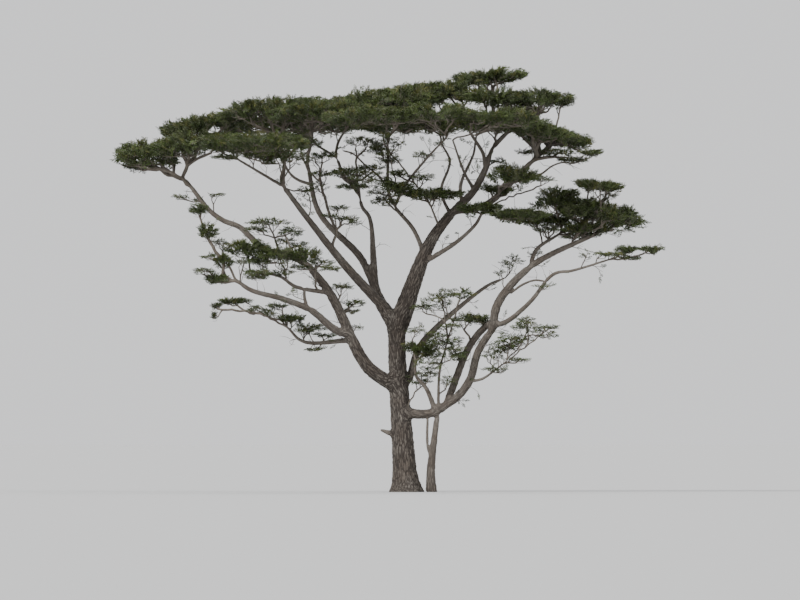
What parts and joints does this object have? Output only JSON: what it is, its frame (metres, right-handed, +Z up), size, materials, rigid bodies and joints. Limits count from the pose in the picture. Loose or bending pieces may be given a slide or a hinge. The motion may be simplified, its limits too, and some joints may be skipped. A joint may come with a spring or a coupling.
{
  "type": "umbrella acacia tree",
  "caption": "Umbrella acacia: a leaning trunk with a slender second stem, long forking boughs, and flat pads of fine foliage spread into a wide, open, flat-topped crown.",
  "frame": {"origin": "on the ground, in the middle of the flat cut under the trunk", "axes": "+Z up; +Y away from the side that the picture shows, so +X is to its right"},
  "size_m": [19.5568, 13.4661, 15.2028],
  "materials": {
    "bark": "rough, fissured along the limbs",
    "foliage": "matte, fine and feathery"
  },
  "bodies": {
    "root": {"centre_back_bough": "bark", "centre_front_bough": "bark", "centre_left_bough": "bark", "centre_mid_spur": "bark", "centre_riser": "bark", "crossing_spur": "bark", "elbow_riser": "bark", "great_centre_bough": "bark", "high_left_bough": "bark", "inner_right_bough": "bark", "left_back_bough": "bark", "left_bough": "bark", "left_bough_end": "bark", "left_crossing_bough": "bark", "left_high_bough": "bark", "left_inner_bough": "bark", "left_low_bough": "bark", "left_mid_riser": "bark", "left_middle_bough": "bark", "left_outer_bough": "bark", "right_back_bough": "bark", "right_front_bough": "bark", "right_great_bough": "bark", "right_high_bough": "bark", "right_inner_bough": "bark", "right_low_bough": "bark", "right_low_spray": "bark", "right_low_twin": "bark", "right_outer_bough": "bark", "right_thin_bough": "bark", "second_stem": "bark", "trunk": "bark", "centre_back_foliage": "foliage", "centre_foliage": "foliage", "centre_front_foliage": "foliage", "centre_left_foliage": "foliage", "crossing_foliage": "foliage", "elbow_foliage": "foliage", "high_left_foliage": "foliage", "inner_right_foliage": "foliage", "left_back_foliage": "foliage", "left_clump_foliage": "foliage", "left_crossing_foliage": "foliage", "left_high_foliage": "foliage", "left_inner_foliage": "foliage", "left_low_foliage": "foliage", "left_mid_foliage": "foliage", "left_outer_foliage": "foliage", "left_tip_foliage": "foliage", "mid_foliage": "foliage", "mid_right_foliage": "foliage", "right_back_foliage": "foliage", "right_front_foliage": "foliage", "right_great_foliage": "foliage", "right_high_foliage": "foliage", "right_inner_foliage": "foliage", "right_low_foliage": "foliage", "right_outer_foliage": "foliage", "top_foliage": "foliage"}
  },
  "joints": []
}
